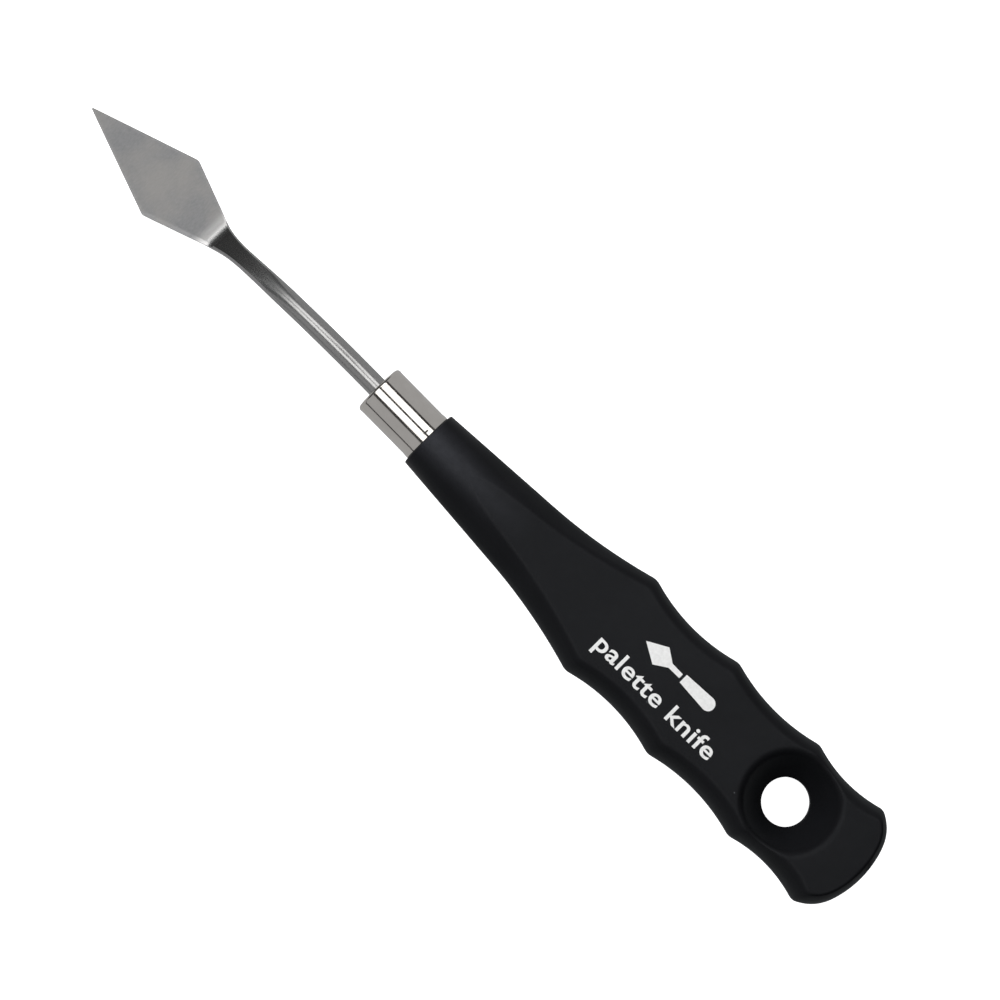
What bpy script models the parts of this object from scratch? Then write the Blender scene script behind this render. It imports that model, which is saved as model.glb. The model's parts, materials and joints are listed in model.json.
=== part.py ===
"""Palette knife: a cranked steel painting knife in a soft-grip handle.

Every piece is modelled in the handle's own frame, in millimetres: X runs along the handle from its
front face (x = 0) towards the butt, Y across it and Z out of its flat upper face. One empty then
lays the whole knife down on a surface, resting on the heel of its blade and on its butt.
"""

import math

import bmesh
import bpy
from mathutils import Euler, Vector

MM = 0.001

# Clearance between two pieces that touch on the real knife
GAP = 0.3

# Handle: a turned cone that swells into a scalloped grip, planed flat on both faces
HANDLE_LENGTH = 117.6
HALF_THICKNESS = 7.05
NECK_RADIUS = 6.25
NECK_TAPER = 0.07
CONE_END = 26.0
CREST_HALF_WIDTH = 12.25
CREST_X = (49.9, 72.2, 94.2, 111.6)
VALLEY_HALF_WIDTH = (10.7, 10.8, 11.0)
SIDE_INSET = 2.2
END_RADIUS = 21.0
END_SLOPE = 0.4
END_WALL_INSET = 1.9
END_TIP = 0.5
FRONT_EDGE = 0.4

# Hang hole, with a round dish sunk into each face
HOLE_X = 97.3
HOLE_RADIUS = 4.75
HOLE_LAND = 0.6
DISH_RADIUS = 9.65
DISH_SAG = 0.5

# Soft grip skin over the rigid core
SKIN = 1.6
SPIGOT_RADIUS = 4.5
SPIGOT_LENGTH = 9.0

# Ferrule: a drawn cap with rolled lips
FERRULE_LENGTH = 13.3
FERRULE_RADIUS = 5.35
FERRULE_WALL = 0.5
FERRULE_LIP = 0.5

# Blade: one forging from its diamond tip to the tang in the handle
SHANK_RADIUS = 2.05
TANG_LENGTH = 34.0
SOCKET_LENGTH = 35.0
BLADE_TIP_X = -92.2
BLADE_CORNER_X = -70.3
BLADE_CORNER_HALF_WIDTH = 7.6
HEEL_X = -58.6
HEEL_HALF_WIDTH = 3.4
WAIST_X = -49.5
WAIST_HALF_WIDTH = 1.88
HEEL_BEND_RADIUS = 4.6
NECK_START_X = -15.5
NECK_ANGLE = math.radians(33.0)
BLADE_HALF_THICKNESS = 0.45
TIP_HALF_THICKNESS = 0.25
TIP_HALF_WIDTH = 0.15

# Points on each round side, steps round a turned piece, and passes that settle the resting tilt
SIDE_STEPS = 8
ROUND_STEPS = 32
PITCH_PASSES = 6


def clear_scene():
    for old in list(bpy.data.objects):
        bpy.data.objects.remove(old, do_unlink=True)


def make_material(name, colour, roughness, metallic):
    material = bpy.data.materials.new(name)
    material.use_nodes = True
    shader = material.node_tree.nodes["Principled BSDF"]
    shader.inputs["Base Color"].default_value = (*colour, 1.0)
    shader.inputs["Roughness"].default_value = roughness
    shader.inputs["Metallic"].default_value = metallic
    return material


def add_object(name, bm, material=None):
    """Write a bmesh, drawn in millimetres, to a new object in metres."""
    bmesh.ops.remove_doubles(bm, verts=bm.verts, dist=1e-4)
    bmesh.ops.scale(bm, vec=(MM, MM, MM), verts=bm.verts)
    bmesh.ops.recalc_face_normals(bm, faces=bm.faces)
    mesh = bpy.data.meshes.new(name)
    bm.to_mesh(mesh)
    bm.free()
    mesh.shade_smooth()
    mesh.set_sharp_from_angle(angle=math.radians(35))
    piece = bpy.data.objects.new(name, mesh)
    bpy.context.scene.collection.objects.link(piece)
    if material:
        mesh.materials.append(material)
    return piece


def loft(rings):
    """Join closed rings of equal length with quads, and cap both ends."""
    bm = bmesh.new()
    rows = [[bm.verts.new(point) for point in ring] for ring in rings]
    count = len(rows[0])
    for first, second in zip(rows, rows[1:]):
        for i in range(count):
            j = (i + 1) % count
            bm.faces.new((first[i], first[j], second[j], second[i]))
    bm.faces.new(rows[0][::-1])
    bm.faces.new(rows[-1])
    return bm


def turned(profile, steps=ROUND_STEPS, axis="X"):
    """Turn a closed profile of (along, radius) points round the X or the Z axis."""
    bm = bmesh.new()
    edges = []
    if axis == "X":
        points = [bm.verts.new((along, 0.0, radius)) for along, radius in profile]
    else:
        points = [bm.verts.new((radius, 0.0, along)) for along, radius in profile]
    for first, second in zip(points, points[1:] + points[:1]):
        edges.append(bm.edges.new((first, second)))
    direction = (1, 0, 0) if axis == "X" else (0, 0, 1)
    bmesh.ops.spin(bm, geom=points + edges, cent=(0, 0, 0), axis=direction,
                   angle=2 * math.pi, steps=steps, use_merge=True)
    return bm


def cut(piece, cutter):
    """Take the cutter's shape out of the piece, and keep the cutter as a hidden guide."""
    cutter.hide_render = True
    cutter.display_type = "WIRE"
    boolean = piece.modifiers.new("cut_" + cutter.name, "BOOLEAN")
    boolean.operation = "DIFFERENCE"
    boolean.solver = "EXACT"
    boolean.object = cutter


# --- Handle -----------------------------------------------------------------------------------


def end_arc_centre():
    return HANDLE_LENGTH - END_RADIUS


def scallop(x, index):
    """Half width in one finger valley: a circular arc between two crests."""
    start, end = CREST_X[index], CREST_X[index + 1]
    half_span = (end - start) / 2
    depth = CREST_HALF_WIDTH - VALLEY_HALF_WIDTH[index]
    radius = (half_span ** 2 + depth ** 2) / (2 * depth)
    offset = x - (start + end) / 2
    return VALLEY_HALF_WIDTH[index] + radius - math.sqrt(radius ** 2 - offset ** 2)


def handle_half_width(x):
    """Half width of the handle's outline up to its last crest: cone, swell and three scallops."""
    cone = NECK_RADIUS + NECK_TAPER * x
    if x <= CONE_END:
        return cone
    if x <= CREST_X[0]:
        reach = CREST_X[0] - CONE_END
        rise = CREST_HALF_WIDTH - (NECK_RADIUS + NECK_TAPER * CREST_X[0])
        return cone + rise * ((x - CONE_END) / reach) ** 2
    for index in range(3):
        if x <= CREST_X[index + 1]:
            return scallop(x, index)
    return CREST_HALF_WIDTH


def side_inset(x, half_width, half_thickness):
    """How far the flat face stops short of the side, which is a round arc."""
    if half_width <= half_thickness:
        return half_width
    inset = half_width - math.sqrt(half_width ** 2 - half_thickness ** 2)
    return min(inset, SIDE_INSET) if x > CREST_X[0] else inset


def handle_ring(x, half_width, half_thickness):
    """Section of the handle: a full circle in the cone, else two round sides and two flats."""
    inset = side_inset(x, half_width, half_thickness)
    height = min(half_thickness, half_width)
    radius = (height ** 2 + inset ** 2) / (2 * inset)
    centre = half_width - radius
    reach = math.asin(min(1.0, height / radius))
    ring = []
    for side in (1, -1):
        for step in range(SIDE_STEPS + 1):
            angle = side * reach * (2 * step / SIDE_STEPS - 1)
            y = side * max(0.0, centre + radius * math.cos(angle))
            ring.append((x, y, radius * math.sin(angle)))
    return ring


def butt_ring(x, offset):
    """Section past the last crest, where a bulged wall closes the form shrunk by an offset."""
    half_thickness = HALF_THICKNESS - offset
    bulge = (half_thickness ** 2 + END_WALL_INSET ** 2) / (2 * END_WALL_INSET)
    inside = HANDLE_LENGTH - offset - x
    top = half_thickness
    if inside < END_WALL_INSET:
        top = max(END_TIP, math.sqrt(max(0.0, bulge ** 2 - (bulge - inside) ** 2)))
    ring = []
    for side in (1, -1):
        for step in range(SIDE_STEPS + 1):
            z = side * top * math.sin(math.pi / 2 * (2 * step / SIDE_STEPS - 1))
            inward = offset + bulge - math.sqrt(bulge ** 2 - z ** 2)
            shoulder = CREST_HALF_WIDTH - END_SLOPE * (x - CREST_X[3]) - inward
            arc = math.sqrt(max(END_TIP ** 2, (END_RADIUS - inward) ** 2 - (x - end_arc_centre()) ** 2))
            ring.append((x, side * min(shoulder, arc), z))
    return ring


def handle_stations(inset):
    """Distances along the handle at which its sections are drawn."""
    face_start = (HALF_THICKNESS - NECK_RADIUS) / NECK_TAPER
    stations = [face_start + step for step in (0.0, 0.4, 1.2, 2.6, 5.0, 9.0)]
    stations += [CONE_END + (CREST_X[0] - CONE_END) * i / 5 for i in range(5)]
    for start, end in zip(CREST_X, CREST_X[1:]):
        stations += [start + (end - start) * i / 7 for i in range(7)]
    stations += [CREST_X[3], CREST_X[3] + 1.2]
    for degrees in (37, 31, 26, 21, 16, 11, 6, 3):
        stations.append(end_arc_centre() + END_RADIUS * math.cos(math.radians(degrees)))
    return [x for x in stations if x <= HANDLE_LENGTH - inset]


def handle_outer():
    """The handle's outer skin, before the hang hole is cut."""
    rings = []
    for x in (0.0, FRONT_EDGE / 2, FRONT_EDGE):
        back = 1 - x / FRONT_EDGE
        edge = FRONT_EDGE * (1 - math.sqrt(1 - back ** 2))
        rings.append(handle_ring(x, handle_half_width(x) - edge, HALF_THICKNESS))
    for x in handle_stations(0.0):
        past_crest = x > CREST_X[3]
        rings.append(butt_ring(x, 0.0) if past_crest else handle_ring(x, handle_half_width(x), HALF_THICKNESS))
    return loft(rings)


def handle_inner(offset, front_x, mouth_radius):
    """The handle's form shrunk by an offset, with a round spigot that runs out to front_x."""
    half_thickness = HALF_THICKNESS - offset
    end = HANDLE_LENGTH - offset
    rings = [handle_ring(front_x, mouth_radius, half_thickness)]
    for x in sorted(handle_stations(offset)[::2] + [end - 3.5, end - 1.5, end - 0.5, end]):
        half_width = handle_half_width(x) - offset
        if x > CREST_X[3]:
            rings.append(butt_ring(x, offset))
        elif x < CONE_END:
            rings.append(handle_ring(x, max(mouth_radius, half_width), half_thickness))
        else:
            rings.append(handle_ring(x, half_width, half_thickness))
    return loft(rings)


def dish_cutter(name, offset):
    """Hang hole with a bowl on each face, grown by an offset."""
    face = HALF_THICKNESS
    span = DISH_RADIUS - HOLE_RADIUS
    bowl = []
    for i in range(6):
        t = i / 5
        radius = HOLE_RADIUS + span * t
        bowl.append((HOLE_LAND + (face - HOLE_LAND) * t - DISH_SAG * math.sin(math.pi * t), radius))
    top = [(face + 3.0, DISH_RADIUS)] + bowl[::-1]
    half = [(z, radius + offset) for z, radius in top]
    profile = half + [(-z, radius) for z, radius in half[::-1]]
    profile = [(face + 3.0, 0.0)] + profile + [(-face - 3.0, 0.0)]
    bm = turned(profile, axis="Z")
    bmesh.ops.translate(bm, vec=(HOLE_X, 0, 0), verts=bm.verts)
    return add_object(name, bm)


def build_soft_grip():
    rubber = make_material("soft_touch_black", (0.018, 0.018, 0.02), 0.6, 0.0)
    grip = add_object("soft_grip", handle_outer(), rubber)
    cavity = add_object("grip_cavity", handle_inner(SKIN, -1.0, SPIGOT_RADIUS + GAP))
    cut(cavity, dish_cutter("cavity_eye", SKIN))
    cut(grip, cavity)
    cut(grip, dish_cutter("hang_hole", 0.0))
    return grip


def build_handle_core():
    plastic = make_material("core_plastic", (0.05, 0.05, 0.055), 0.5, 0.0)
    core = add_object("handle_core", handle_inner(SKIN + GAP, -SPIGOT_LENGTH, SPIGOT_RADIUS), plastic)
    cut(core, dish_cutter("core_eye", SKIN + GAP))
    socket_radius = SHANK_RADIUS + GAP
    profile = [(-SPIGOT_LENGTH - 1.0, 0.0), (-SPIGOT_LENGTH - 1.0, socket_radius),
               (SOCKET_LENGTH, socket_radius), (SOCKET_LENGTH + 1.0, 0.0)]
    cut(core, add_object("tang_socket", turned(profile, 20)))
    return core


# --- Ferrule and its seal ---------------------------------------------------------------------


def build_ferrule():
    """A drawn metal cap: a tube with rolled lips and a holed front wall."""
    nickel = make_material("ferrule_nickel", (0.62, 0.59, 0.55), 0.15, 1.0)
    front = -FERRULE_LENGTH - GAP
    back = -GAP
    outer = FERRULE_RADIUS
    inner = outer - FERRULE_WALL
    hole = SHANK_RADIUS + GAP
    lip = FERRULE_LIP
    corner = [(front + lip - lip * math.sin(math.radians(a)), outer - lip + lip * math.cos(math.radians(a)))
              for a in (90, 60, 30, 0)]
    profile = [(front + FERRULE_WALL, hole), (front, hole)] + corner
    profile += [(back - lip, outer), (back - lip / 3, outer - lip / 4), (back, outer - lip / 2)]
    profile += [(back, inner), (front + FERRULE_WALL, inner)]
    return add_object("ferrule", turned(profile, 48), nickel)


def build_ferrule_seal():
    """Cast resin that fills the ferrule's mouth and holds the shank."""
    resin = make_material("seal_resin", (0.35, 0.30, 0.22), 0.5, 0.0)
    front = -FERRULE_LENGTH + FERRULE_WALL
    back = -SPIGOT_LENGTH - GAP
    outer = FERRULE_RADIUS - FERRULE_WALL - GAP
    inner = SHANK_RADIUS + GAP
    profile = [(front, inner), (front, outer), (back, outer), (back, inner)]
    return add_object("ferrule_seal", turned(profile, 24), resin)


# --- Blade ------------------------------------------------------------------------------------


def neck_centre(angle):
    """Point on the neck's long bend, where the shank has turned down by this angle."""
    reach = NECK_START_X - neck_foot_x()
    radius = reach / math.sin(NECK_ANGLE)
    return NECK_START_X - radius * math.sin(angle), -radius * (1 - math.cos(angle))


def neck_foot_x():
    """Where the long bend meets the tight bend at the heel."""
    return HEEL_X + HEEL_BEND_RADIUS * math.sin(NECK_ANGLE)


def neck_half_width(x):
    """Half width of the neck: a concave sweep from the heel to the waist, then out to the rod."""
    if x < WAIST_X:
        back = (WAIST_X - x) / (WAIST_X - HEEL_X)
        return WAIST_HALF_WIDTH + (HEEL_HALF_WIDTH - WAIST_HALF_WIDTH) * back ** 2.4
    return min(SHANK_RADIUS, WAIST_HALF_WIDTH + (x - WAIST_X) * 0.0125)


def blade_level():
    """Height of the blade's mid plane, below the handle's axis."""
    return neck_centre(NECK_ANGLE)[1] - HEEL_BEND_RADIUS * (1 - math.cos(NECK_ANGLE))


def bar_ring(x, z, slope, half_width, half_height, corner):
    """Section of the forging: a rounded bar, square to a centre line that climbs at slope."""
    ring = []
    for quarter in range(4):
        sign_y = 1 if quarter in (0, 3) else -1
        sign_z = 1 if quarter < 2 else -1
        for step in range(4):
            angle = math.pi / 2 * (quarter + (step + 0.5) / 4)
            across = sign_y * (half_width - corner) + corner * math.cos(angle)
            up = sign_z * (half_height - corner) + corner * math.sin(angle)
            ring.append((x - up * math.sin(slope), across, z + up * math.cos(slope)))
    return ring


def blade_rings():
    """Sections from the diamond's tip, over the heel and the neck, to the end of the tang."""
    level = blade_level()
    rings = []

    def plate(x, half_width, half_height):
        rings.append(bar_ring(x, level, 0.0, half_width, half_height, min(half_height, half_width) * 0.7))

    plate(BLADE_TIP_X, TIP_HALF_WIDTH, TIP_HALF_THICKNESS)
    plate(BLADE_CORNER_X - 0.5, BLADE_CORNER_HALF_WIDTH - 0.17, BLADE_HALF_THICKNESS)
    plate(BLADE_CORNER_X, BLADE_CORNER_HALF_WIDTH, BLADE_HALF_THICKNESS)
    plate(BLADE_CORNER_X + 0.5, BLADE_CORNER_HALF_WIDTH - 0.2, BLADE_HALF_THICKNESS)
    plate(HEEL_X - 1.0, HEEL_HALF_WIDTH + 0.37, BLADE_HALF_THICKNESS + 0.05)

    for step in range(6):
        slope = NECK_ANGLE * step / 5
        x = HEEL_X + HEEL_BEND_RADIUS * math.sin(slope)
        z = level + HEEL_BEND_RADIUS * (1 - math.cos(slope))
        half_width = neck_half_width(x)
        half_height = BLADE_HALF_THICKNESS + 0.1 + 0.35 * step / 5
        rings.append(bar_ring(x, z, slope, half_width, half_height, 0.35))

    bend_steps = 9
    for step in range(1, bend_steps + 1):
        t = step / bend_steps
        slope = NECK_ANGLE * (1 - t)
        x, z = neck_centre(slope)
        swell = min(1.0, t / 0.55)
        half_width = neck_half_width(x)
        half_height = 0.9 + (SHANK_RADIUS - 0.9) * swell
        corner = 0.35 + (SHANK_RADIUS - 0.35) * swell
        corner = min(corner, half_width, half_height)
        rings.append(bar_ring(x, z, slope, half_width, half_height, corner))

    radius = SHANK_RADIUS
    rings.append(bar_ring(TANG_LENGTH - 3.0, 0.0, 0.0, radius, radius, radius))
    rings.append(bar_ring(TANG_LENGTH, 0.0, 0.0, radius * 0.6, radius * 0.6, radius * 0.6))
    return rings


def build_blade():
    steel = make_material("satin_steel", (0.55, 0.55, 0.54), 0.32, 1.0)
    return add_object("blade", loft(blade_rings()), steel)


# --- Lay the knife down ------------------------------------------------------------------------


def lowest_point(piece, pitch):
    """Vertex of a piece that is lowest once the knife is pitched nose-up by this angle."""
    tilt = Euler((0.0, pitch, 0.0)).to_matrix()
    return min((vertex.co for vertex in piece.data.vertices), key=lambda co: (tilt @ co).z)


def resting_pitch(blade, grip):
    """Tilt that brings the blade's heel and the butt's lower edge onto one surface."""
    pitch = 0.0
    for _ in range(PITCH_PASSES):
        heel = lowest_point(blade, pitch)
        butt = lowest_point(grip, pitch + math.radians(1.0))
        pitch = math.atan2(butt.z - heel.z, butt.x - heel.x)
    return pitch


def lay_down(blade, grip, pieces):
    """Parent the pieces to one empty whose origin is the middle of the knife's footprint."""
    pitch = resting_pitch(blade, grip)
    tilt = Euler((0.0, pitch, 0.0)).to_matrix()
    points = [tilt @ vertex.co for piece in pieces for vertex in piece.data.vertices]
    low = Vector([min(point[i] for point in points) for i in range(3)])
    high = Vector([max(point[i] for point in points) for i in range(3)])
    rest = bpy.data.objects.new("knife_rest_frame", None)
    bpy.context.scene.collection.objects.link(rest)
    rest.rotation_euler = (0.0, pitch, 0.0)
    rest.location = (-(low.x + high.x) / 2, 0.0, -low.z)
    for item in bpy.data.objects:
        if item.type == "MESH":
            item.parent = rest


def main():
    clear_scene()
    blade = build_blade()
    grip = build_soft_grip()
    pieces = [blade, grip, build_ferrule(), build_ferrule_seal(), build_handle_core()]
    lay_down(blade, grip, pieces)


main()
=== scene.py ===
"""Looks of the palette knife: fine surfaces, procedural materials, light and camera.

The knife is drawn in millimetres in the handle's own frame (X along the handle from its front end,
Y across, Z out of its front flat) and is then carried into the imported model's frame. The stage is
placed in metres in the model's frame.
"""
import json
import math

import bmesh
import bpy
from mathutils import Matrix, Vector


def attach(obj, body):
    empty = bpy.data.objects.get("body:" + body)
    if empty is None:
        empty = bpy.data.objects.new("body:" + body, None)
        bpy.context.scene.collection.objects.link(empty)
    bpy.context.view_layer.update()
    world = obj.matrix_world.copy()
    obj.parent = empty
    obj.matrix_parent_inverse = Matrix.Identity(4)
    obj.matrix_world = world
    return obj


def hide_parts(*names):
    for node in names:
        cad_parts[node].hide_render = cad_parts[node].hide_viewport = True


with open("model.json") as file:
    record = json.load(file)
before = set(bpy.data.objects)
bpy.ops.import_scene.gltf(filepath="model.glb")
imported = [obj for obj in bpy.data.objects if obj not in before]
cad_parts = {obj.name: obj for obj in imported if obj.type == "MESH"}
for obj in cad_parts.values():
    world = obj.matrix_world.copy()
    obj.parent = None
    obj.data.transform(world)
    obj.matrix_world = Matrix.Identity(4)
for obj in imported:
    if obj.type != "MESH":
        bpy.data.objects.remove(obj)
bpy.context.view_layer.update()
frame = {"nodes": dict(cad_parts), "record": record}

MM = 0.001

# Handle: the CAD model's dimensions, with the roundings that its edges and crests get here
HANDLE_LENGTH = 117.7
HALF_THICKNESS = 7.05
NECK_RADIUS = 6.25
NECK_TAPER = 0.07
CONE_END = 26.0
CREST_HALF_WIDTH = 12.38
CREST_X = (49.9, 72.2, 94.2, 111.6)
VALLEY_HALF_WIDTH = (10.7, 10.8, 11.0)
CREST_ROUNDING = 0.5
END_ROUNDING = 3.9
SIDE_INSET = 2.2
FACE_FILLET = 2.3
END_RADIUS = 21.0
END_SLOPE = 0.4
END_WALL_INSET = 1.9
END_FILLET = 0.7
FRONT_EDGE = 0.35
FACE_MOUNT_X = 70.0
FACE_V_LENGTH = 14.0
BUTT_ARC = math.radians(46.0)
BUTT_LAST = math.radians(0.8)
# How far from a crest the outline's next part is looked at, so that the two can be rounded together
JOIN_REACH = 4.0
CORE_CLEARANCE = 0.25
SOCKET_RADIUS = 2.7
SOCKET_END = 36.5
BORE_CUT_HALF_HEIGHT = 2.0

# Hang hole and its dish
HOLE_X = 97.3
HOLE_RADIUS = 4.75
HOLE_LAND = 0.6
DISH_RADIUS = 9.65
DISH_SAG = 0.5
DISH_LIP = 1.3

# Ferrule
FERRULE_FRONT = -13.6
FERRULE_BACK = -0.05
FERRULE_RADIUS = 5.35
FERRULE_WALL = 0.5
FERRULE_HOLE = 2.35
FERRULE_HOLE_EDGE = 0.12
FERRULE_LIP = 0.75
FERRULE_RIM = 0.12
FERRULE_WAIST = 0.06

# Blade forging
SHANK_RADIUS = 2.05
TANG_LENGTH = 34.0
BLADE_TIP_X = -92.2
BLADE_CORNER_X = -70.3
BLADE_CORNER_HALF_WIDTH = 7.55
HEEL_X = -58.2
HEEL_BEND_RADIUS = 4.6
HEEL_HALF_WIDTH = 3.26
WAIST_X = -49.5
WAIST_HALF_WIDTH = 1.88
ROD_START_X = -37.0
NECK_START_X = -15.5
NECK_ANGLE = math.radians(33.0)
HEEL_SWEEP_POWER = 2.35
TIP_HALF_WIDTH = 0.16
TIP_EDGE_SLOPE = 0.345
# The straight edges meet a little outside the corner, and its rounding takes this off
CORNER_SPARE = 0.05
HEEL_SIDE_SPARE = 0.1
CORNER_ROUNDING = 0.35
PLATE_HALF_THICKNESS = 0.42
EDGE_DROP = 0.06
EDGE_BEVEL = 0.32
LOWER_BEVEL = 0.8
LOWER_BEVEL_DROP = 0.14
TIP_HALF_THICKNESS = 0.22
TIP_TAPER_LENGTH = 12.0
NECK_HALF_HEIGHT = 0.80


def handle_matrix():
    """The handle's frame in the model: tilted and placed as its front flat is."""
    mount = next(m for m in frame["record"]["mounts"] if m["name"] == "handle_front_flat")
    normal = Vector(mount["axis"]).normalized()
    tilt = Matrix.Rotation(math.atan2(normal.x, normal.z), 4, "Y")
    offset = Vector(mount["pos_m"]) - tilt @ Vector((FACE_MOUNT_X * MM, 0.0, HALF_THICKNESS * MM))
    return Matrix.Translation(offset) @ tilt


HANDLE = handle_matrix()


def smooth_step(low, high, value):
    t = min(1.0, max(0.0, (value - low) / (high - low)))
    return t * t * (3 - 2 * t)


def smooth_min(a, b, reach):
    overlap = max(reach - abs(a - b), 0.0) / reach
    return min(a, b) - overlap * overlap * reach / 4


def spread(low, high, count):
    return [low + (high - low) * i / count for i in range(count)]


# --- Mesh helpers -------------------------------------------------------------------------------


def finish_mesh(name, bm, material, sharp=35.0):
    """Write a bmesh, drawn in millimetres in the handle's frame, to an object in the model's frame."""
    bmesh.ops.remove_doubles(bm, verts=bm.verts, dist=1e-4)
    bmesh.ops.recalc_face_normals(bm, faces=bm.faces)
    mesh = bpy.data.meshes.new(name)
    bm.to_mesh(mesh)
    bm.free()
    mesh.transform(HANDLE @ Matrix.Scale(MM, 4))
    mesh.shade_smooth()
    mesh.set_sharp_from_angle(angle=math.radians(sharp))
    piece = bpy.data.objects.new(name, mesh)
    bpy.context.scene.collection.objects.link(piece)
    if material:
        mesh.materials.append(material)
    return piece


def loft(rings):
    """Join closed rings of equal length with quads, and cap both ends."""
    bm = bmesh.new()
    rows = [[bm.verts.new(point) for point in ring] for ring in rings]
    count = len(rows[0])
    for first, second in zip(rows, rows[1:]):
        for i in range(count):
            j = (i + 1) % count
            bm.faces.new((first[i], first[j], second[j], second[i]))
    bm.faces.new(rows[0][::-1])
    bm.faces.new(rows[-1])
    return bm


def turned(profile, steps, centre_x=0.0, axis="X"):
    """Turn a closed profile of (along, radius) points round the X axis, or a Z axis at centre_x."""
    bm = bmesh.new()
    if axis == "X":
        points = [bm.verts.new((along, 0.0, radius)) for along, radius in profile]
        centre, direction = (0, 0, 0), (1, 0, 0)
    else:
        points = [bm.verts.new((centre_x + radius, 0.0, along)) for along, radius in profile]
        centre, direction = (centre_x, 0, 0), (0, 0, 1)
    edges = [bm.edges.new(pair) for pair in zip(points, points[1:] + points[:1])]
    bmesh.ops.spin(bm, geom=points + edges, cent=centre, axis=direction,
                   angle=2 * math.pi, steps=steps, use_merge=True)
    return bm


def cut_away(piece, cutter):
    """Take the cutter out of the piece for good, and remove the cutter."""
    boolean = piece.modifiers.new("cut", "BOOLEAN")
    boolean.operation = "DIFFERENCE"
    boolean.solver = "EXACT"
    boolean.object = cutter
    depsgraph = bpy.context.evaluated_depsgraph_get()
    mesh = bpy.data.meshes.new_from_object(piece.evaluated_get(depsgraph))
    piece.modifiers.clear()
    old = piece.data
    piece.data = mesh
    bpy.data.meshes.remove(old)
    bpy.data.objects.remove(cutter, do_unlink=True)


def model_x(x):
    """Place along the model, in metres, of a place along the handle's axis, in millimetres."""
    return (HANDLE @ Vector((x * MM, 0.0, 0.0))).x


# Where the ground blade, whose darker tone is painted shade, gives way to the polished neck
GROUND_END = model_x(-61.2)
POLISH_START = model_x(-57.6)

# Painted highlight: the bright band across the heel's bend, in the steel's colour: its start, its brightest
# line and its end
HEEL_PAINTED_HIGHLIGHT = [model_x(x) for x in (-60.4, -57.6, -56.3)]

# Painted highlight along the middle of the cone: its ends, and its full and faded half widths in metres
PAINTED_HIGHLIGHT_ENDS = (model_x(2.0), model_x(27.0))
PAINTED_HIGHLIGHT_CORE = 0.0004
PAINTED_HIGHLIGHT_EDGE = 0.0042

# The part of a noise value's range in which nearly all of it lies
NOISE_LOW = 0.3
NOISE_HIGH = 0.7


# --- Material helpers ---------------------------------------------------------------------------


class Nodes:
    """Short way to write a node material on top of its Principled shader."""

    def __init__(self, name):
        self.material = bpy.data.materials.new(name)
        self.material.use_nodes = True
        self.tree = self.material.node_tree
        self.shader = self.tree.nodes["Principled BSDF"]

    def add(self, kind, **sockets):
        node = self.tree.nodes.new(kind)
        for key, value in sockets.items():
            node.inputs[key.replace("_", " ")].default_value = value
        return node

    def link(self, source, target):
        self.tree.links.new(source, target)

    def coordinates(self, scale):
        """Model coordinates in metres, scaled by a number for each axis."""
        place = self.add("ShaderNodeTexCoord")
        mapping = self.add("ShaderNodeMapping")
        mapping.inputs["Scale"].default_value = scale
        self.link(place.outputs["Object"], mapping.inputs["Vector"])
        return mapping.outputs["Vector"]

    def noise(self, scale, detail=4.0, roughness=0.55, stretch=(1.0, 1.0, 1.0)):
        node = self.add("ShaderNodeTexNoise", Scale=scale, Detail=detail, Roughness=roughness)
        self.link(self.coordinates(stretch), node.inputs["Vector"])
        return node.outputs["Fac"]

    def place(self):
        """The three model coordinates in metres, as separate outputs."""
        parts = self.add("ShaderNodeSeparateXYZ")
        self.link(self.coordinates((1.0, 1.0, 1.0)), parts.inputs["Vector"])
        return parts.outputs

    def calculate(self, operation, first, second=None):
        node = self.tree.nodes.new("ShaderNodeMath")
        node.operation = operation
        self.link(first, node.inputs[0])
        if second is not None:
            self.link(second, node.inputs[1])
        return node.outputs[0]

    def map_range(self, value, low, high, new_low, new_high):
        node = self.add("ShaderNodeMapRange")
        limits = {"From Min": low, "From Max": high, "To Min": new_low, "To Max": new_high}
        for key, number in limits.items():
            node.inputs[key].default_value = number
        self.link(value, node.inputs["Value"])
        return node.outputs["Result"]

    def mix(self, factor, first, second):
        node = self.tree.nodes.new("ShaderNodeMix")
        node.data_type = "RGBA"
        colour_a = [s for s in node.inputs if s.name == "A" and s.type == "RGBA"][0]
        colour_b = [s for s in node.inputs if s.name == "B" and s.type == "RGBA"][0]
        for value, socket in ((first, colour_a), (second, colour_b)):
            if isinstance(value, tuple):
                socket.default_value = (*value, 1.0)
            else:
                self.link(value, socket)
        self.link(factor, node.inputs[0])
        return [s for s in node.outputs if s.type == "RGBA"][0]

    def spread_noise(self, noise, low, high):
        """Number that runs from low to high as the noise does."""
        return self.map_range(noise, NOISE_LOW, NOISE_HIGH, low, high)

    def mix_by_noise(self, noise, first, second):
        return self.mix(self.spread_noise(noise, 0.0, 1.0), first, second)

    def bump(self, height, strength, distance, below=None):
        node = self.add("ShaderNodeBump", Strength=strength, Distance=distance)
        self.link(height, node.inputs["Height"])
        if below:
            self.link(below, node.inputs["Normal"])
        return node.outputs["Normal"]

    def set(self, **sockets):
        for key, value in sockets.items():
            self.shader.inputs[key.replace("_", " ")].default_value = value


def cone_painted_highlight(m):
    """Mask of a painted highlight: a pale, blotchy streak along the middle of the cone, which fades towards
    the butt.
    """
    place = m.place()
    middle = m.map_range(m.calculate("ABSOLUTE", place["Y"]), PAINTED_HIGHLIGHT_CORE, PAINTED_HIGHLIGHT_EDGE, 1.0, 0.0)
    fade = m.map_range(place["X"], *PAINTED_HIGHLIGHT_ENDS, 0.85, 0.0)
    patch = m.spread_noise(m.noise(700.0, detail=4.0), 0.75, 1.0)
    return m.calculate("MULTIPLY", m.calculate("MULTIPLY", middle, fade), patch)


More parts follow.
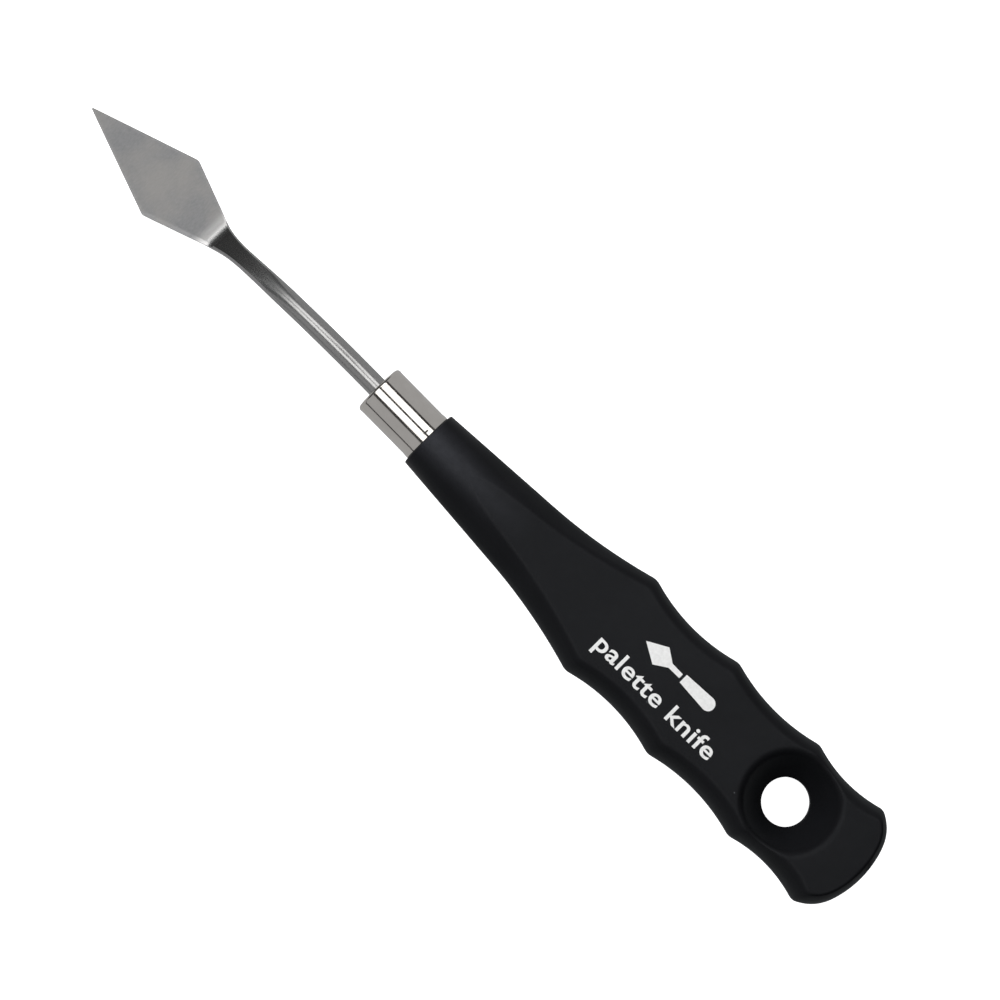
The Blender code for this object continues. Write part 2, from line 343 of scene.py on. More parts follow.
def dust_specks(m):
    """Mask of a few small round specks: one in the middle of about every twentieth cell."""
    cells = m.add("ShaderNodeTexVoronoi", Scale=420.0, Randomness=1.0)
    m.link(m.coordinates((1.0, 1.0, 1.0)), cells.inputs["Vector"])
    speck = m.map_range(cells.outputs["Distance"], 0.05, 0.09, 1.0, 0.0)
    pick = m.add("ShaderNodeSeparateColor")
    m.link(cells.outputs["Color"], pick.inputs["Color"])
    chosen = m.map_range(pick.outputs["Red"], 0.93, 0.95, 0.0, 1.0)
    return m.calculate("MULTIPLY", speck, chosen)


def soft_touch_rubber():
    """Fine matte black soft touch, faintly uneven, with a painted highlight along the cone and a few specks
    of dust.
    """
    m = Nodes("soft_touch_black_looks")
    m.set(Metallic=0.0, Specular_IOR_Level=0.125, Specular_Tint=(0.92, 0.96, 1.0, 1.0))
    broad = m.noise(90.0, detail=3.0)
    uneven = m.map_range(broad, 0.35, 0.65, 0.0, 1.0)
    tone = m.mix(uneven, (0.0054, 0.0055, 0.0064), (0.0068, 0.0069, 0.0080))
    # Painted highlight: pale bluish colour along the middle of the cone, where a reflection would fall
    tone = m.mix(cone_painted_highlight(m), tone, (0.0330, 0.0340, 0.0400))
    m.link(m.mix(dust_specks(m), tone, (0.075, 0.078, 0.085)), m.shader.inputs["Base Color"])
    fine = m.noise(5200.0, detail=2.0, roughness=0.6)
    wear = m.noise(260.0, detail=5.0, roughness=0.6)
    m.link(m.spread_noise(wear, 0.35, 0.43), m.shader.inputs["Roughness"])
    waves = m.bump(broad, 0.12, 0.0006)
    m.link(m.bump(fine, 0.22, 0.00004, waves), m.shader.inputs["Normal"])
    return m.material


def satin_steel():
    """Steel with a dull ground blade darkened as painted shade, a painted highlight across the heel, and a
    polished neck and shank.
    """
    m = Nodes("satin_steel_looks")
    m.set(Metallic=1.0)
    grain = m.noise(1.0, detail=6.0, roughness=0.7, stretch=(3000.0, 1100.0, 3000.0))
    cloud = m.noise(110.0, detail=3.0)
    fine = m.noise(4200.0, detail=3.0, roughness=0.7)
    # The ground blade's grain and dull finish are its own; its tone, kept darker than the polished neck's,
    # is painted shade
    ground = m.mix_by_noise(grain, (0.205, 0.206, 0.210), (0.262, 0.262, 0.262))
    warm = m.map_range(cloud, 0.40, 0.66, 0.0, 0.55)
    ground = m.mix(warm, ground, (0.310, 0.298, 0.280))
    polished = m.mix_by_noise(fine, (0.38, 0.375, 0.37), (0.47, 0.465, 0.455))
    along = m.place()["X"]
    rod = m.map_range(along, GROUND_END, POLISH_START, 0.0, 1.0)
    colour = m.mix(rod, ground, polished)
    # Painted highlight: a bright band across the heel's bend, mixed into the colour by place along the
    # model
    start, middle, end = HEEL_PAINTED_HIGHLIGHT
    rising = m.map_range(along, start, middle, 0.0, 1.0)
    falling = m.map_range(along, middle, end, 1.0, 0.0)
    band = m.calculate("MULTIPLY", rising, falling)
    m.link(m.mix(band, colour, (0.62, 0.61, 0.60)), m.shader.inputs["Base Color"])
    dull = m.mix_by_noise(cloud, (0.36, 0.36, 0.36), (0.42, 0.42, 0.42))
    m.link(m.mix(rod, dull, (0.25, 0.25, 0.25)), m.shader.inputs["Roughness"])
    under = m.bump(fine, 0.03, 0.00002)
    ground_grain = m.bump(grain, 0.16, 0.00003, under)
    m.link(m.map_range(rod, 0.0, 1.0, 0.16, 0.02), ground_grain.node.inputs["Strength"])
    m.link(ground_grain, m.shader.inputs["Normal"])
    return m.material


def polished_nickel():
    """Bright nickel plate with faint turning lines and a little haze."""
    m = Nodes("polished_nickel_looks")
    m.set(Metallic=1.0)
    haze = m.noise(400.0, detail=4.0)
    colour = m.mix_by_noise(haze, (0.70, 0.665, 0.62), (0.75, 0.715, 0.67))
    m.link(colour, m.shader.inputs["Base Color"])
    m.link(m.spread_noise(haze, 0.07, 0.13), m.shader.inputs["Roughness"])
    lines = m.noise(1.0, detail=3.0, stretch=(6500.0, 120.0, 120.0))
    m.link(m.bump(lines, 0.05, 0.00002), m.shader.inputs["Normal"])
    return m.material


def pad_print_white():
    m = Nodes("white_print_looks")
    m.set(Metallic=0.0, Specular_IOR_Level=0.35)
    patch = m.noise(1500.0, detail=4.0)
    m.link(m.mix_by_noise(patch, (0.80, 0.80, 0.79), (0.92, 0.92, 0.91)), m.shader.inputs["Base Color"])
    m.link(m.spread_noise(patch, 0.45, 0.6), m.shader.inputs["Roughness"])
    m.link(m.bump(patch, 0.15, 0.00002), m.shader.inputs["Normal"])
    return m.material


def plain_moulded(name, low, high, roughness):
    """Moulded or cast piece that is out of sight in the knife."""
    m = Nodes(name)
    patch = m.noise(500.0, detail=4.0)
    m.link(m.mix_by_noise(patch, low, high), m.shader.inputs["Base Color"])
    m.link(m.spread_noise(patch, roughness - 0.06, roughness + 0.06), m.shader.inputs["Roughness"])
    m.link(m.bump(m.noise(2500.0, detail=3.0), 0.15, 0.00005), m.shader.inputs["Normal"])
    return m.material


# --- Soft grip ----------------------------------------------------------------------------------

# Points along a quarter section: across the flat, round the fillet and up the side
FLAT_STEPS = 42
FILLET_STEPS = 10
SIDE_STEPS = 16


def end_centre():
    return HANDLE_LENGTH - END_RADIUS


def scallop(x, index):
    """Half width along one scallop, an arc that is deepest midway between its two crests."""
    start, end = CREST_X[index], CREST_X[index + 1]
    half_span = (end - start) / 2
    depth = CREST_HALF_WIDTH - VALLEY_HALF_WIDTH[index]
    radius = (half_span ** 2 + depth ** 2) / (2 * depth)
    offset = x - (start + end) / 2
    return VALLEY_HALF_WIDTH[index] + radius - math.sqrt(max(0.0, radius ** 2 - offset ** 2))


def swell(x):
    """Half width of the cone, which swells out past CONE_END to meet the first crest."""
    cone = NECK_RADIUS + NECK_TAPER * x
    if x <= CONE_END:
        return cone
    reach = CREST_X[0] - CONE_END
    rise = CREST_HALF_WIDTH - (NECK_RADIUS + NECK_TAPER * CREST_X[0])
    return cone + rise * ((x - CONE_END) / reach) ** 2


def half_width(x, inward=0.0):
    """Half width of the outline, or of its copy shrunk inward, with crests and corners rounded."""
    parts = [swell(x)] if x < CREST_X[0] + JOIN_REACH else []
    parts += [scallop(x, i) for i in range(3) if CREST_X[i] - JOIN_REACH < x < CREST_X[i + 1] + JOIN_REACH]
    if x > CREST_X[3] - JOIN_REACH:
        parts.append(CREST_HALF_WIDTH - END_SLOPE * (x - CREST_X[3]))
    value = parts[0]
    for other in parts[1:]:
        value = smooth_min(value, other, CREST_ROUNDING)
    value -= inward
    if x > CREST_X[3] - JOIN_REACH:
        radius = END_RADIUS - inward
        along = min(x - end_centre(), radius)
        value = smooth_min(value, math.sqrt(radius ** 2 - along ** 2), END_ROUNDING)
    return max(value, 0.0)


def dish_height(x, y, face):
    """Height of the face once the hang hole's dish is sunk into it."""
    radius = math.hypot(x - HOLE_X, y)
    t = (radius - HOLE_RADIUS) / (DISH_RADIUS - HOLE_RADIUS)
    if t <= 0:
        return HOLE_LAND
    bowl = HOLE_LAND + (HALF_THICKNESS - HOLE_LAND) * t - DISH_SAG * math.sin(math.pi * min(1.0, t))
    return smooth_min(face, bowl, DISH_LIP)


def side_profile(x, width):
    """Quarter profile as (inward, height) pairs: the round side, then a fillet up to the flat face."""
    if width <= HALF_THICKNESS and x < CREST_X[0]:
        round_side = [math.pi / 2 * i / SIDE_STEPS for i in range(SIDE_STEPS)]
        pairs = [(width - width * math.cos(angle), width * math.sin(angle)) for angle in round_side]
        return pairs + [(width, width)] * (FILLET_STEPS + 1)
    inset = width - math.sqrt(max(0.0, width ** 2 - HALF_THICKNESS ** 2))
    if x > CREST_X[0]:
        inset = min(inset, SIDE_INSET)
    square = smooth_step(CREST_X[3] - 3.0, CREST_X[3] + 1.5, x)
    inset += (END_WALL_INSET - inset) * square
    fillet = FACE_FILLET + (END_FILLET - FACE_FILLET) * square
    radius = (HALF_THICKNESS ** 2 + inset ** 2) / (2 * inset)
    drop = max(0.0, (radius - fillet) ** 2 - (HALF_THICKNESS - fillet) ** 2)
    fillet_in = radius - math.sqrt(drop)
    turn = math.atan2(HALF_THICKNESS - fillet, radius - fillet_in)
    pairs = []
    for i in range(SIDE_STEPS):
        angle = turn * i / SIDE_STEPS
        pairs.append((radius - radius * math.cos(angle), radius * math.sin(angle)))
    for i in range(FILLET_STEPS + 1):
        angle = turn + (math.pi / 2 - turn) * i / FILLET_STEPS
        height = HALF_THICKNESS - fillet + fillet * math.sin(angle)
        pairs.append((fillet_in - fillet * math.cos(angle), height))
    return pairs


def close_at_butt(x, pairs):
    """Points of the section at x, whose profile is met at the axis where the butt's wall closes it."""
    reach = END_RADIUS - (x - end_centre())
    points = []
    for (inner, low), (inward, height) in zip([pairs[0]] + pairs, pairs):
        if inward < reach:
            points.append((half_width(x, inward), height))
        elif inner < reach:
            height = low + (height - low) * (reach - inner) / (inward - inner)
            points.append((0.0, height))
        else:
            points.append((0.0, points[-1][1]))
    return points


def grip_ring(x, width):
    """Fine section of the handle: round sides, fillets and flats, with the dish sunk in."""
    pairs = side_profile(x, width)
    if x > CREST_X[3] - JOIN_REACH:
        quarter = close_at_butt(x, pairs)
    else:
        quarter = [(width - inward, height) for inward, height in pairs]
    flat_y, top = quarter[-1]
    quarter += [(flat_y * (1 - i / FLAT_STEPS), top) for i in range(1, FLAT_STEPS + 1)]
    near = abs(x - HOLE_X) < DISH_RADIUS + 3.0
    sunk = []
    for y, z in quarter:
        if near:
            z = min(z, max(0.0, dish_height(x, y, z)))
        sunk.append((max(y, 0.0), z))
    ring = [(x, y, z) for y, z in sunk]
    ring += [(x, -y, z) for y, z in sunk[-2::-1]]
    ring += [(x, -y, -z) for y, z in sunk[1:]]
    ring += [(x, y, -z) for y, z in sunk[-2:0:-1]]
    return ring


def grip_stations():
    """Places of the sections along the handle, closer where the face starts, at the dish and the butt."""
    face_start = (HALF_THICKNESS - NECK_RADIUS) / NECK_TAPER
    stations = spread(FRONT_EDGE, face_start, 8)
    stations += [face_start + FACE_V_LENGTH * (i / 16) ** 2 for i in range(16)]
    stations += spread(face_start + FACE_V_LENGTH, CREST_X[0] - 2.0, 30)
    stations += spread(CREST_X[0] - 2.0, HOLE_X - DISH_RADIUS - 1.0, 60)
    stations += spread(HOLE_X - DISH_RADIUS - 1.0, HOLE_X + DISH_RADIUS + 1.0, 84)
    stations += spread(HOLE_X + DISH_RADIUS + 1.0, CREST_X[3] + 0.6, 14)
    for i in range(30):
        angle = BUTT_ARC * (1 - i / 30)
        stations.append(end_centre() + END_RADIUS * math.cos(angle))
    stations.append(end_centre() + END_RADIUS * math.cos(BUTT_LAST))
    return sorted(stations)


def core_room():
    """Copy of the core grown by its clearance, as the room that is cut for it in the grip."""
    room = bpy.data.objects.new("core_room", frame["nodes"]["handle_core"].data.copy())
    bpy.context.scene.collection.objects.link(room)
    bm = bmesh.new()
    bm.from_mesh(room.data)
    bmesh.ops.remove_doubles(bm, verts=bm.verts, dist=1e-7)
    bm.normal_update()
    moved = [(v, v.co + v.normal * CORE_CLEARANCE * MM) for v in bm.verts]
    for vertex, place in moved:
        vertex.co = place
    bm.to_mesh(room.data)
    bm.free()
    return room


def build_grip(material):
    rings = []
    for degrees in (0, 15, 30, 45, 60, 75):
        back = FRONT_EDGE * (1 - math.sin(math.radians(degrees)))
        along = FRONT_EDGE * (1 - math.cos(math.radians(degrees)))
        rings.append(grip_ring(along, half_width(along) - back))
    rings += [grip_ring(x, half_width(x)) for x in grip_stations()]
    grip = finish_mesh("grip_surface", loft(rings), material)

    reach = BORE_CUT_HALF_HEIGHT
    bore = [(-reach, 0.0), (-reach, HOLE_RADIUS), (reach, HOLE_RADIUS), (reach, 0.0)]
    cut_away(grip, finish_mesh("bore_cutter", turned(bore, 128, HOLE_X, "Z"), None))
    cut_away(grip, core_room())
    socket = [(-1.0, 0.0), (-1.0, SOCKET_RADIUS), (SOCKET_END, SOCKET_RADIUS), (SOCKET_END, 0.0)]
    cut_away(grip, finish_mesh("socket_room", turned(socket, 32), None))
    grip.data.shade_smooth()
    grip.data.set_sharp_from_angle(angle=math.radians(32))
    return grip


# --- Ferrule ------------------------------------------------------------------------------------


def build_ferrule(material):
    """Drawn cap: rolled front lip, holed front wall, and a slightly raised rim at the handle."""
    front, back, outer = FERRULE_FRONT, FERRULE_BACK, FERRULE_RADIUS
    hole, edge = FERRULE_HOLE, FERRULE_HOLE_EDGE
    lip, rim, waist = FERRULE_LIP, FERRULE_RIM, FERRULE_WAIST
    profile = [(front + FERRULE_WALL, hole), (front + edge, hole), (front, hole + edge)]
    for degrees in range(90, -1, -10):
        a = math.radians(degrees)
        profile.append((front + lip - lip * math.sin(a), outer - lip + lip * math.cos(a)))
    profile += [(front + 0.95, outer - 0.01), (front + 1.15, outer - 0.05), (front + 1.4, outer - waist)]
    profile += [(back - 1.3, outer - waist), (back - 1.05, outer - 0.05), (back - 0.85, outer - 0.01)]
    for degrees in range(0, 91, 15):
        a = math.radians(degrees)
        profile.append((back - rim + rim * math.sin(a), outer - rim + rim * math.cos(a)))
    profile += [(back, outer - FERRULE_WALL), (front + FERRULE_WALL, outer - FERRULE_WALL)]
    return finish_mesh("ferrule_surface", turned(profile, 160), material, sharp=50.0)


# --- Blade --------------------------------------------------------------------------------------

# Points along a quarter section's thin edge, its bevel and the whole of it, and rings in heel and neck
EDGE_POINTS = 2
BEVEL_POINTS = 4
QUARTER = 18
HEEL_STEPS = 14
NECK_STEPS = 56


def neck_foot_x():
    return HEEL_X + HEEL_BEND_RADIUS * math.sin(NECK_ANGLE)


def neck_centre(slope):
    radius = (NECK_START_X - neck_foot_x()) / math.sin(NECK_ANGLE)
    return NECK_START_X - radius * math.sin(slope), -radius * (1 - math.cos(slope))


def blade_level():
    return neck_centre(NECK_ANGLE)[1] - HEEL_BEND_RADIUS * (1 - math.cos(NECK_ANGLE))


def neck_half_width(x):
    """Half width of the neck: a concave sweep from the heel to the waist, then out to the rod."""
    if x < WAIST_X:
        back = (WAIST_X - x) / (WAIST_X - HEEL_X)
        return WAIST_HALF_WIDTH + (HEEL_HALF_WIDTH - WAIST_HALF_WIDTH) * back ** HEEL_SWEEP_POWER
    return WAIST_HALF_WIDTH + (SHANK_RADIUS - WAIST_HALF_WIDTH) * smooth_step(WAIST_X, ROD_START_X, x)


def blade_half_width(x):
    """Half width of the forging seen from above: diamond, concave heel, round shank."""
    corner = BLADE_CORNER_HALF_WIDTH + CORNER_SPARE
    if x < BLADE_CORNER_X:
        front = (x - BLADE_TIP_X) / (BLADE_CORNER_X - BLADE_TIP_X)
        rising = TIP_HALF_WIDTH + corner * front
    else:
        rising = TIP_HALF_WIDTH + corner + (x - BLADE_CORNER_X) * TIP_EDGE_SLOPE
    if x < HEEL_X:
        back = (HEEL_X - x) / (HEEL_X - BLADE_CORNER_X)
        falling = HEEL_HALF_WIDTH + (BLADE_CORNER_HALF_WIDTH + HEEL_SIDE_SPARE - HEEL_HALF_WIDTH) * back
        return smooth_min(rising, falling, CORNER_ROUNDING)
    return neck_half_width(x)


def plate_quarter(width, height, edge, bevel):
    """Quarter section of the flat blade: thin edge, ground bevel, flat face."""
    points = [(width, edge * i / EDGE_POINTS) for i in range(EDGE_POINTS)]
    points += [(width - bevel * i / BEVEL_POINTS, edge + (height - edge) * i / BEVEL_POINTS)
               for i in range(BEVEL_POINTS)]
    rest = QUARTER - EDGE_POINTS - BEVEL_POINTS
    points += [((width - bevel) * (1 - i / rest), height) for i in range(rest + 1)]
    return points


def round_quarter(width, height):
    return [(width * math.cos(math.pi / 2 * i / QUARTER), height * math.sin(math.pi / 2 * i / QUARTER))
            for i in range(QUARTER + 1)]


def forging_ring(x, z, slope, width, height, edge, bevel, roundness, lower_bevel=None, lower_edge=None):
    """Section of the forging: plate or rod, or a blend, with its own bevel on the lower (-Y) side."""
    rod = round_quarter(width, height)
    sides = []
    for side_edge, side_bevel in ((edge, bevel), (lower_edge or edge, lower_bevel or bevel)):
        flat = plate_quarter(width, height, side_edge, side_bevel)
        sides.append([(a[0] + (b[0] - a[0]) * roundness, a[1] + (b[1] - a[1]) * roundness)
                      for a, b in zip(flat, rod)])
    upper, lower = sides
    outline = upper + [(-y, up) for y, up in lower[-2::-1]]
    outline += [(-y, -up) for y, up in lower[1:]] + [(y, -up) for y, up in upper[-2:0:-1]]
    return [(x - up * math.sin(slope), y, z + up * math.cos(slope)) for y, up in outline]


def plate_rings():
    """Flat diamond, from the tip to the heel."""
    level = blade_level()
    stations = [BLADE_TIP_X, BLADE_TIP_X + 0.08, BLADE_TIP_X + 0.25, BLADE_TIP_X + 0.6]
    stations += spread(BLADE_TIP_X + 1.2, BLADE_CORNER_X - 1.2, 24)
    stations += spread(BLADE_CORNER_X - 1.2, BLADE_CORNER_X + 1.2, 16)
    stations += spread(BLADE_CORNER_X + 1.2, HEEL_X, 14)
    rings = []
    for x in stations:
        width = blade_half_width(x)
        if x < BLADE_TIP_X + 0.3:
            width = min(width, 0.06 + math.sqrt(max(0.0, (x - BLADE_TIP_X) * 0.12)))
        bevel = min(EDGE_BEVEL, width * 0.8)
        along = min(1.0, (x - BLADE_TIP_X) / TIP_TAPER_LENGTH)
        height = TIP_HALF_THICKNESS + (PLATE_HALF_THICKNESS - TIP_HALF_THICKNESS) * along
        edge = height - EDGE_DROP
        ground = smooth_step(BLADE_CORNER_X - 0.6, BLADE_CORNER_X + 1.0, x)
        lower_bevel = bevel + (LOWER_BEVEL - bevel) * ground
        lower_edge = edge + (EDGE_DROP - LOWER_BEVEL_DROP) * ground
        rings.append(forging_ring(x, level, 0.0, width, height, edge, bevel, 0.0,
                                  lower_bevel, lower_edge))
    return rings


def heel_rings():
    """Bend up from the plate into the neck, growing thicker."""
    level = blade_level()
    rings = []
    for step in range(HEEL_STEPS):
        t = step / HEEL_STEPS
        slope = NECK_ANGLE * t
        x = HEEL_X + HEEL_BEND_RADIUS * math.sin(slope)
        z = level + HEEL_BEND_RADIUS * (1 - math.cos(slope))
        height = PLATE_HALF_THICKNESS + (NECK_HALF_HEIGHT - PLATE_HALF_THICKNESS) * t
        edge = height - EDGE_DROP - 0.30 * t
        lower_bevel = LOWER_BEVEL + (EDGE_BEVEL - LOWER_BEVEL) * t
        lower_edge = height - LOWER_BEVEL_DROP + (edge - height + LOWER_BEVEL_DROP) * t
        rings.append(forging_ring(x, z, slope, blade_half_width(x), height, edge, EDGE_BEVEL, 0.0,
                                  lower_bevel, lower_edge))
    return rings


def neck_rings():
    """Curved neck that turns from a bevelled bar into the round shank."""
    rings = []
    for step in range(NECK_STEPS + 1):
        t = step / NECK_STEPS
        slope = NECK_ANGLE * (1 - t)
        x, z = neck_centre(slope)
        grown = smooth_step(0.0, 0.62, t)
        height = NECK_HALF_HEIGHT + (SHANK_RADIUS - NECK_HALF_HEIGHT) * grown
        edge = 0.44 + 0.5 * grown
        roundness = smooth_step(0.12, 0.62, t)
        bevel = EDGE_BEVEL + 0.5 * grown
        rings.append(forging_ring(x, z, slope, blade_half_width(x), height, edge, bevel, roundness))
    return rings


def tang_rings():
    """Straight round shank and the tang inside the handle, chamfered at its end."""
    rings = []
    for x, scale in ((0.0, 1.0), (TANG_LENGTH - 3.0, 1.0), (TANG_LENGTH, 0.6)):
        radius = SHANK_RADIUS * scale
        rings.append(forging_ring(x, 0.0, 0.0, radius, radius, 0.5, 0.5, 1.0))
    return rings


def build_blade(material):
    rings = plate_rings() + heel_rings() + neck_rings() + tang_rings()
    return finish_mesh("blade_surface", loft(rings), material, sharp=28.0)


# --- Print --------------------------------------------------------------------------------------

PRINT_THICKNESS = 0.05
PRINT_SUNK = 0.02
PRINT_WEIGHT = 0.016
PRINT_SPACING = 1.06
PRINT_TEXT = "palette knife"
WORDS_X = (49.9, 80.4)
WORDS_Y = (-7.2, -2.5)
ICON_X = (56.3, 74.4)
ICON_Y = (-1.0, 4.7)


def flat_shape(outlines):
    """Thin printed shapes, each a closed outline of (x, y) points on the handle's front flat."""
    bm = bmesh.new()
    low, high = HALF_THICKNESS - PRINT_SUNK, HALF_THICKNESS + PRINT_THICKNESS
    for outline in outlines:
        bottom = [bm.verts.new((x, y, low)) for x, y in outline]
        top = [bm.verts.new((x, y, high)) for x, y in outline]
        bm.faces.new(bottom[::-1])
        bm.faces.new(top)
        count = len(outline)
        for i in range(count):
            j = (i + 1) % count
            bm.faces.new((bottom[i], bottom[j], top[j], top[i]))
    return bm


def build_print(material):
    """Generic pad print: a small knife pictogram over the plain words for the tool."""
    curve = bpy.data.curves.new("print_words", "FONT")
    curve.body = PRINT_TEXT
    curve.size = 1.0
    curve.space_character = PRINT_SPACING
    curve.offset = PRINT_WEIGHT
    words = bpy.data.objects.new("print_words_draft", curve)
    bpy.context.scene.collection.objects.link(words)
    bpy.context.view_layer.update()
    depsgraph = bpy.context.evaluated_depsgraph_get()
    mesh = bpy.data.meshes.new_from_object(words.evaluated_get(depsgraph))
    bpy.data.objects.remove(words, do_unlink=True)
    left, right = min(v.co.x for v in mesh.vertices), max(v.co.x for v in mesh.vertices)
    bottom, top = min(v.co.y for v in mesh.vertices), max(v.co.y for v in mesh.vertices)
    scale_x = (WORDS_X[1] - WORDS_X[0]) / (right - left)
    scale_y = (WORDS_Y[1] - WORDS_Y[0]) / (top - bottom)
    bm = bmesh.new()
    bm.from_mesh(mesh)
    bpy.data.meshes.remove(mesh)
    for vertex in bm.verts:
        vertex.co = Vector((WORDS_X[0] + (vertex.co.x - left) * scale_x,
                            WORDS_Y[0] + (vertex.co.y - bottom) * scale_y,
                            HALF_THICKNESS - PRINT_SUNK))
    raised = bmesh.ops.extrude_face_region(bm, geom=bm.faces[:])
    lifted = [item for item in raised["geom"] if isinstance(item, bmesh.types.BMVert)]
    bmesh.ops.translate(bm, vec=(0, 0, PRINT_THICKNESS + PRINT_SUNK), verts=lifted)
    words = finish_mesh("print_words", bm, material)

    (a, b), (low, high) = ICON_X, ICON_Y
    y, half = (low + high) / 2, (high - low) * 0.4
    blade = [(a, y), (a + 4.0, y - half), (a + 6.6, y - 0.55), (a + 9.4, y - 0.5),
             (a + 9.4, y + 0.5), (a + 6.6, y + 0.55), (a + 4.0, y + half)]
    grip = half * 0.62
    handle = [(a + 10.0, y - grip * 0.7)]
    handle += [(b - grip + grip * math.sin(math.radians(d)), y - grip * math.cos(math.radians(d)))
               for d in range(0, 181, 15)]
    handle += [(a + 10.0, y + grip * 0.7)]
    icon = finish_mesh("print_pictogram", flat_shape([blade, handle]), material)
    return words, icon


# --- Put the model together ---------------------------------------------------------------------


def join_model():
    rubber, steel, nickel, ink = soft_touch_rubber(), satin_steel(), polished_nickel(), pad_print_white()
    grip = build_grip(rubber)
    blade = build_blade(steel)
    ferrule = build_ferrule(nickel)
    replaced = ((grip, "soft_touch_black", "soft_grip"), (blade, "satin_steel", "blade"),
                (ferrule, "polished_nickel", "ferrule"))
    for piece, slot, node in replaced:
        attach(piece, "root")
        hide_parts(node)
    for piece in build_print(ink):
        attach(piece, "root")
    core = plain_moulded("core_plastic_looks", (0.040, 0.040, 0.044), (0.060, 0.060, 0.065), 0.5)
    seal = plain_moulded("seal_resin_looks", (0.30, 0.25, 0.18), (0.38, 0.33, 0.25), 0.45)
    for node, material in (("handle_core", core), ("ferrule_seal", seal)):
        for place in frame["nodes"][node].material_slots:
            place.material = material


# --- Stage, light and camera --------------------------------------------------------------------

# Lengths are in metres in the model's frame. SENSOR and VIEW_CENTRE are in millimetres, and VIEW_CENTRE
# is in the handle's frame.
FLOOR_HALF_SIZE = 3.0
VIEW_ROLL = math.radians(6.5)
VIEW_DISTANCE = 0.600
VIEW_WIDTH = 0.1888
SENSOR = 36.0
VIEW_CENTRE = (18.0, 0.84, HALF_THICKNESS)
AXIS_IN_PICTURE = math.radians(45.45)
WORLD_STRENGTH = 0.46
SOFTBOX_RADIANCE = 1.6
SOFTBOX_HEIGHT = 0.72
SOFTBOX_X = -0.235
SOFTBOX_LENGTH = 1.03
FLAG_HEIGHT = 0.725
FLAG_X = -0.20
FLAG_HALF_LENGTH = 0.80
TIP_CARD_X = -0.80


def build_floor():
    mesh = bpy.data.meshes.new("floor")
    s = FLOOR_HALF_SIZE
    mesh.from_pydata([(-s, -s, 0), (s, -s, 0), (s, s, 0), (-s, s, 0)], [], [(0, 1, 2, 3)])
    floor = bpy.data.objects.new("floor", mesh)
    bpy.context.scene.collection.objects.link(floor)
    m = Nodes("floor_paper")
    paper = m.noise(60.0, detail=3.0)
    m.link(m.mix_by_noise(paper, (0.86, 0.86, 0.86), (0.90, 0.90, 0.90)), m.shader.inputs["Base Color"])
    m.set(Roughness=0.9, Specular_IOR_Level=0.1)
    m.set(Emission_Color=(1.0, 1.0, 1.0, 1.0), Emission_Strength=0.95)
    mesh.materials.append(m.material)
    floor.visible_glossy = False
    floor.visible_diffuse = False


def softbox(name, centre, aim, size, radiance):
    """Area light of size (along X, across) in metres, at a centre, aimed at a point."""
    light = bpy.data.lights.new(name, "AREA")
    light.shape = "RECTANGLE"
    light.size, light.size_y = size
    light.energy = radiance * math.pi * size[0] * size[1]
    lamp = bpy.data.objects.new(name, light)
    bpy.context.scene.collection.objects.link(lamp)
    direction = (Vector(aim) - Vector(centre)).normalized()
    right = Vector((1, 0, 0)) - direction * direction.x
    right.normalize()
    up = (-direction).cross(right)
    basis = Matrix((right, up, -direction)).transposed()
    lamp.matrix_world = Matrix.Translation(centre) @ basis.to_4x4()
    lamp.visible_camera = False
    return lamp


def flag(name, centre, half_x, half_y, half_z, material):
    """Flat card, seen in reflections but not by the camera; one of its three half sizes is zero."""
    mesh = bpy.data.meshes.new(name)
    x, y, z = centre
    if half_z == 0.0:
        corners = [(-half_x, -half_y, 0), (half_x, -half_y, 0), (half_x, half_y, 0), (-half_x, half_y, 0)]
    elif half_y == 0.0:
        corners = [(-half_x, 0, -half_z), (half_x, 0, -half_z), (half_x, 0, half_z), (-half_x, 0, half_z)]
    else:
        corners = [(0, -half_y, -half_z), (0, half_y, -half_z), (0, half_y, half_z), (0, -half_y, half_z)]
    mesh.from_pydata([(x + a, y + b, z + c) for a, b, c in corners], [], [(0, 1, 2, 3)])
    card = bpy.data.objects.new(name, mesh)
    bpy.context.scene.collection.objects.link(card)
    mesh.materials.append(material)
    card.visible_camera = False


def card_material(name, scale, dark, light, glow_colour, glow):
    """Dull card with a faint mottle, which glows a little so that its reflection isn't black."""
    m = Nodes(name)
    mottle = m.noise(scale, detail=2.0)
    m.link(m.mix_by_noise(mottle, (dark, dark, dark), (light, light, light)), m.shader.inputs["Base Color"])
    m.set(Roughness=0.95, Specular_IOR_Level=0.0, Emission_Color=glow_colour, Emission_Strength=glow)
    return m.material


def build_softboxes():
    for name, y, width in (("softbox_left", 0.27, 0.39), ("softbox_right", -0.20, 0.33)):
        centre = (SOFTBOX_X, y, SOFTBOX_HEIGHT)
        softbox(name, centre, (SOFTBOX_X, y, 0.0), (SOFTBOX_LENGTH, width), SOFTBOX_RADIANCE)
    fill = softbox("fill_from_tip", (-0.66, 0.0, 0.42), (0.05, 0.0, 0.0), (0.40, 0.60), 5.5)
    fill.visible_glossy = False


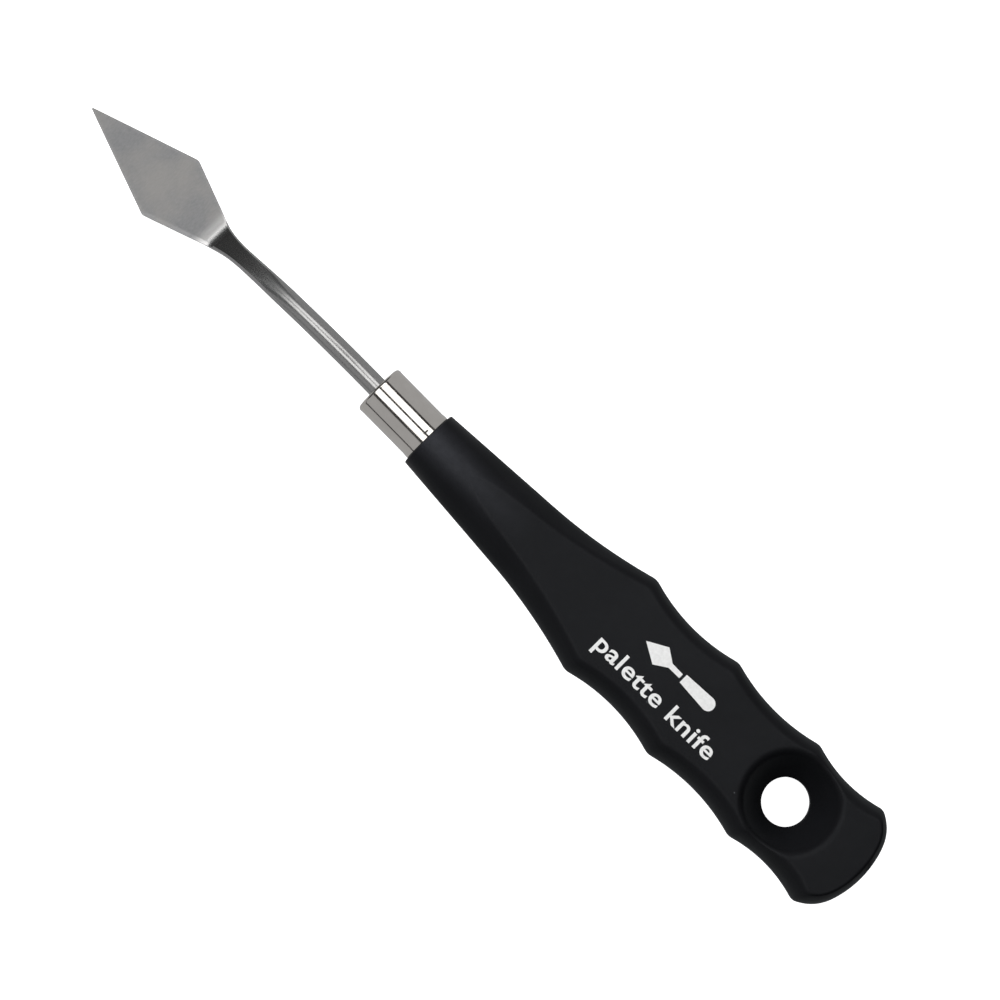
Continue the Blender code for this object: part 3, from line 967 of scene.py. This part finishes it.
def build_cards():
    """Black flags between the softboxes and round the stage, and grey cards below and past the tip."""
    cloth = card_material("flag_black_cloth", 900.0, 0.004, 0.012, (1.0, 1.0, 1.0, 1.0), 0.04)
    grey = card_material("grey_card_paper", 300.0, 0.010, 0.020, (0.92, 0.97, 1.0, 1.0), 0.20)
    for name, y, half in (("flag_left", 0.575, 0.105), ("flag_middle", 0.02, 0.052),
                          ("flag_right", -0.475, 0.105)):
        flag(name, (FLAG_X, y, FLAG_HEIGHT), FLAG_HALF_LENGTH, half, 0.0, cloth)
    flag("flag_low", (0.0, -0.90, 0.0), 1.2, 0.0, 0.05, cloth)
    flag("flag_blade", (-0.19, 0.10, 0.70), 0.06, 0.15, 0.0, cloth)
    flag("flag_end", (TIP_CARD_X, 0.0, 0.22), 0.0, 0.90, 0.28, cloth)
    flag("card_under", (0.062, 0.0, -0.003), 0.070, 0.060, 0.0, grey)
    flag("card_high", (TIP_CARD_X, 0.0, 0.675), 0.0, 0.90, 0.170, grey)
    flag("flag_butt", (0.60, 0.0, 0.20), 0.0, 0.70, 0.46, cloth)


def build_light():
    world = bpy.data.worlds.new("studio")
    world.use_nodes = True
    background = world.node_tree.nodes["Background"]
    background.inputs["Color"].default_value = (0.93, 0.94, 0.96, 1.0)
    background.inputs["Strength"].default_value = WORLD_STRENGTH
    bpy.context.scene.world = world
    build_softboxes()
    build_cards()


def build_camera():
    """Camera above the knife's front face, with the knife lying from upper left to lower right."""
    data = bpy.data.cameras.new("camera")
    data.sensor_width = SENSOR
    data.lens = SENSOR * VIEW_DISTANCE / VIEW_WIDTH
    data.clip_start = 0.01
    camera = bpy.data.objects.new("camera", data)
    bpy.context.scene.collection.objects.link(camera)
    along = Vector((1, 0, 0))
    back = Vector((0, -math.sin(VIEW_ROLL), math.cos(VIEW_ROLL)))
    across = back.cross(along)
    c, s = math.cos(AXIS_IN_PICTURE), math.sin(AXIS_IN_PICTURE)
    right = along * c + across * s
    up = across * c - along * s
    turn = Matrix((right, up, back)).transposed().to_4x4()
    place = Matrix.Translation(Vector(VIEW_CENTRE) * MM + back * VIEW_DISTANCE) @ turn
    camera.matrix_world = HANDLE @ place
    bpy.context.scene.camera = camera


join_model()
build_floor()
build_light()
build_camera()
bpy.context.scene.view_settings.view_transform = "Standard"
